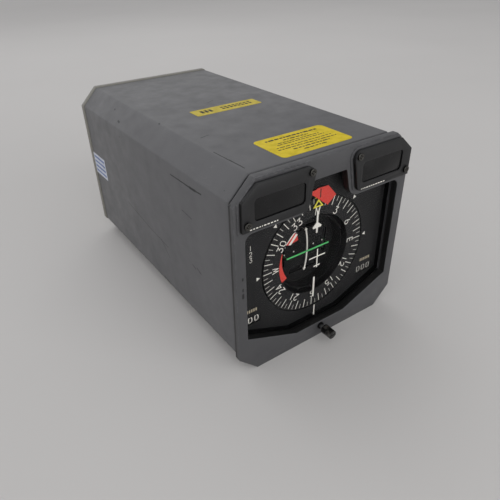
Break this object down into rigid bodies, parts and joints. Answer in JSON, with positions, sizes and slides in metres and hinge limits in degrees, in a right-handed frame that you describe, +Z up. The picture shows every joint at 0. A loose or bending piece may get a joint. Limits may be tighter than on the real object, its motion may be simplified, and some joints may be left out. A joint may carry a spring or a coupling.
{
  "type": "horizontal situation indicator",
  "caption": "Square panel instrument with a grey octagonal case, shaped dial opening, two dark display windows, a turning compass card, flags, counters and rear connectors.",
  "frame": {"origin": "on the base plane, under the middle of the instrument's overall box, midway between the knob's tip and the connectors' rear ends", "axes": "+X to the viewer's right as one faces the dial, +Y from the dial back to the rear connectors, +Z up"},
  "size_m": [0.127, 0.246, 0.1262],
  "materials": {
    "bezel_paint": "satin grey enamel",
    "case_paint": "satin grey enamel",
    "rear_paint": "satin grey enamel, slightly olive",
    "cover_paint": "satin charcoal",
    "glass": "coated float glass",
    "dark_filter": "smoked filter",
    "rubber": "moulded",
    "black_anodise": "black anodised",
    "aluminium": "machined",
    "steel": "turned",
    "brass": "turned",
    "knob_plastic": "moulded black",
    "dial_black": "matt black",
    "marker_white": "matt white",
    "marker_yellow": "matt yellow",
    "flag_red": "matt red",
    "bar_green": "matt green",
    "label_yellow": "printed polyester",
    "label_white": "printed polyester",
    "board_green": "glass-fibre laminate",
    "insert_brown": "moulded",
    "shell_olive": "olive plating",
    "gold": "gold plated"
  },
  "bodies": {
    "case_body": {"bezel": "bezel_paint", "front_glass": "glass", "glass_gasket": "rubber", "glass_retainer": "black_anodise", "left_window_cover": "cover_paint", "right_window_cover": "cover_paint", "display_windows": "dark_filter", "display_modules": "knob_plastic", "window_screws": "steel", "case_shell": "case_paint", "rear_plate": "rear_paint", "rear_screws": "steel", "bezel_screws": "steel", "rear_connectors": "shell_olive", "connector_inserts": "insert_brown", "connector_pins": "gold", "ground_stud": "steel", "front_label": "label_yellow", "rear_label": "label_yellow", "side_label": "label_white", "dimmer_pot": "black_anodise", "dial_mask": "dial_black", "card_bearing": "steel", "bug_bearing": "steel", "servo_motors": "steel", "course_bearings": "steel", "heading_flag_mover": "aluminium", "counter_shafts": "steel", "counter_frames": "aluminium", "front_frame": "aluminium", "mid_frame": "aluminium", "gear_frame": "aluminium", "rear_frame": "aluminium", "frame_pillars": "aluminium", "circuit_boards": "board_green", "brush_block": "insert_brown"},
    "card": {"compass_card": "dial_black"},
    "card_drive": {"card_pinion": "brass"},
    "bug": {"heading_bug": "marker_yellow"},
    "bug_drive": {"bug_pinion": "brass"},
    "carriage": {"course_carriage": "black_anodise", "course_arrow": "marker_white", "deviation_meter": "aluminium", "glideslope_meter": "aluminium", "carriage_flag_movers": "aluminium", "slip_rings": "gold"},
    "course_drive": {"course_pinion": "brass"},
    "deviation": {"deviation_bar": "marker_white"},
    "glideslope": {"glideslope_bar": "bar_green"},
    "nav": {"nav_flag": "flag_red"},
    "heading_warning": {"heading_flag": "flag_red"},
    "arc_warning": {"arc_flag": "flag_red"},
    "course_units": {"course_units_drum": "knob_plastic"},
    "course_tens": {"course_tens_drum": "knob_plastic"},
    "course_hundreds": {"course_hundreds_drum": "knob_plastic"},
    "distance_units": {"distance_units_drum": "knob_plastic"},
    "distance_tens": {"distance_tens_drum": "knob_plastic"},
    "distance_hundreds": {"distance_hundreds_drum": "knob_plastic"},
    "knob": {"dimmer_knob": "knob_plastic", "knob_shaft": "black_anodise"}
  },
  "joints": [
    {"name": "card_turn", "type": "hinge", "parent": "case_body", "child": "card", "pos_m": [0, -0.09335, 0.0577], "axis": [0, 1, 0], "continuous": true},
    {"name": "card_pinion_spin", "type": "hinge", "parent": "case_body", "child": "card_drive", "pos_m": [-0.04122, -0.09235, 0.0815], "axis": [0, 1, 0], "continuous": true},
    {"name": "bug_turn", "type": "hinge", "parent": "case_body", "child": "bug", "pos_m": [0, -0.09935, 0.0577], "axis": [0, 1, 0], "continuous": true},
    {"name": "bug_pinion_spin", "type": "hinge", "parent": "case_body", "child": "bug_drive", "pos_m": [0.04365, -0.09935, 0.0829], "axis": [0, 1, 0], "continuous": true},
    {"name": "course_turn", "type": "hinge", "parent": "case_body", "child": "carriage", "pos_m": [0, -0.02435, 0.0577], "axis": [0, 1, 0], "continuous": true},
    {"name": "course_pinion_spin", "type": "hinge", "parent": "case_body", "child": "course_drive", "pos_m": [0.03, -0.03035, 0.0577], "axis": [0, 1, 0], "continuous": true},
    {"name": "deviation_swing", "type": "hinge", "parent": "carriage", "child": "deviation", "pos_m": [0, -0.04335, 0.0577], "axis": [0, 0, 1], "range_deg": [-9.5, 9.5]},
    {"name": "glideslope_swing", "type": "hinge", "parent": "carriage", "child": "glideslope", "pos_m": [0, -0.06535, 0.0577], "axis": [1, 0, 0], "range_deg": [-13, 13]},
    {"name": "nav_flag_flip", "type": "hinge", "parent": "carriage", "child": "nav", "pos_m": [-0.01407, -0.09495, 0.07177], "axis": [-0.7071, 0, -0.7071], "range_deg": [0, 85]},
    {"name": "heading_flag_swing", "type": "hinge", "parent": "case_body", "child": "heading_warning", "pos_m": [-0.03, -0.09735, 0.1], "axis": [0, -1, 0], "range_deg": [0, 32]},
    {"name": "arc_flag_swing", "type": "hinge", "parent": "carriage", "child": "arc_warning", "pos_m": [-0.02978, -0.09735, 0.06796], "axis": [0, 1, 0], "range_deg": [0, 14]},
    {"name": "course_units_roll", "type": "hinge", "parent": "case_body", "child": "course_units", "pos_m": [-0.0483, -0.09275, 0.029], "axis": [1, 0, 0], "continuous": true},
    {"name": "course_tens_roll", "type": "hinge", "parent": "case_body", "child": "course_tens", "pos_m": [-0.0483, -0.09275, 0.029], "axis": [1, 0, 0], "continuous": true},
    {"name": "course_hundreds_roll", "type": "hinge", "parent": "case_body", "child": "course_hundreds", "pos_m": [-0.0483, -0.09275, 0.029], "axis": [1, 0, 0], "continuous": true},
    {"name": "distance_units_roll", "type": "hinge", "parent": "case_body", "child": "distance_units", "pos_m": [0.0466, -0.09275, 0.029], "axis": [1, 0, 0], "continuous": true},
    {"name": "distance_tens_roll", "type": "hinge", "parent": "case_body", "child": "distance_tens", "pos_m": [0.0466, -0.09275, 0.029], "axis": [1, 0, 0], "continuous": true},
    {"name": "distance_hundreds_roll", "type": "hinge", "parent": "case_body", "child": "distance_hundreds", "pos_m": [0.0466, -0.09275, 0.029], "axis": [1, 0, 0], "continuous": true},
    {"name": "knob_turn", "type": "hinge", "parent": "case_body", "child": "knob", "pos_m": [0, -0.11135, 0.0074], "axis": [0, 1, 0], "range_deg": [-150, 150]}
  ],
  "couplings": [
    {"joint": "card_pinion_spin", "follows": "card_turn", "ratio": -6},
    {"joint": "bug_pinion_spin", "follows": "bug_turn", "ratio": -6},
    {"joint": "course_pinion_spin", "follows": "course_turn", "ratio": -4},
    {"joint": "course_units_roll", "follows": "course_turn", "ratio": 36},
    {"joint": "course_tens_roll", "follows": "course_turn", "ratio": 3.6},
    {"joint": "course_hundreds_roll", "follows": "course_turn", "ratio": 0.36},
    {"joint": "distance_tens_roll", "follows": "distance_units_roll", "ratio": 0.1},
    {"joint": "distance_hundreds_roll", "follows": "distance_units_roll", "ratio": 0.01}
  ]
}
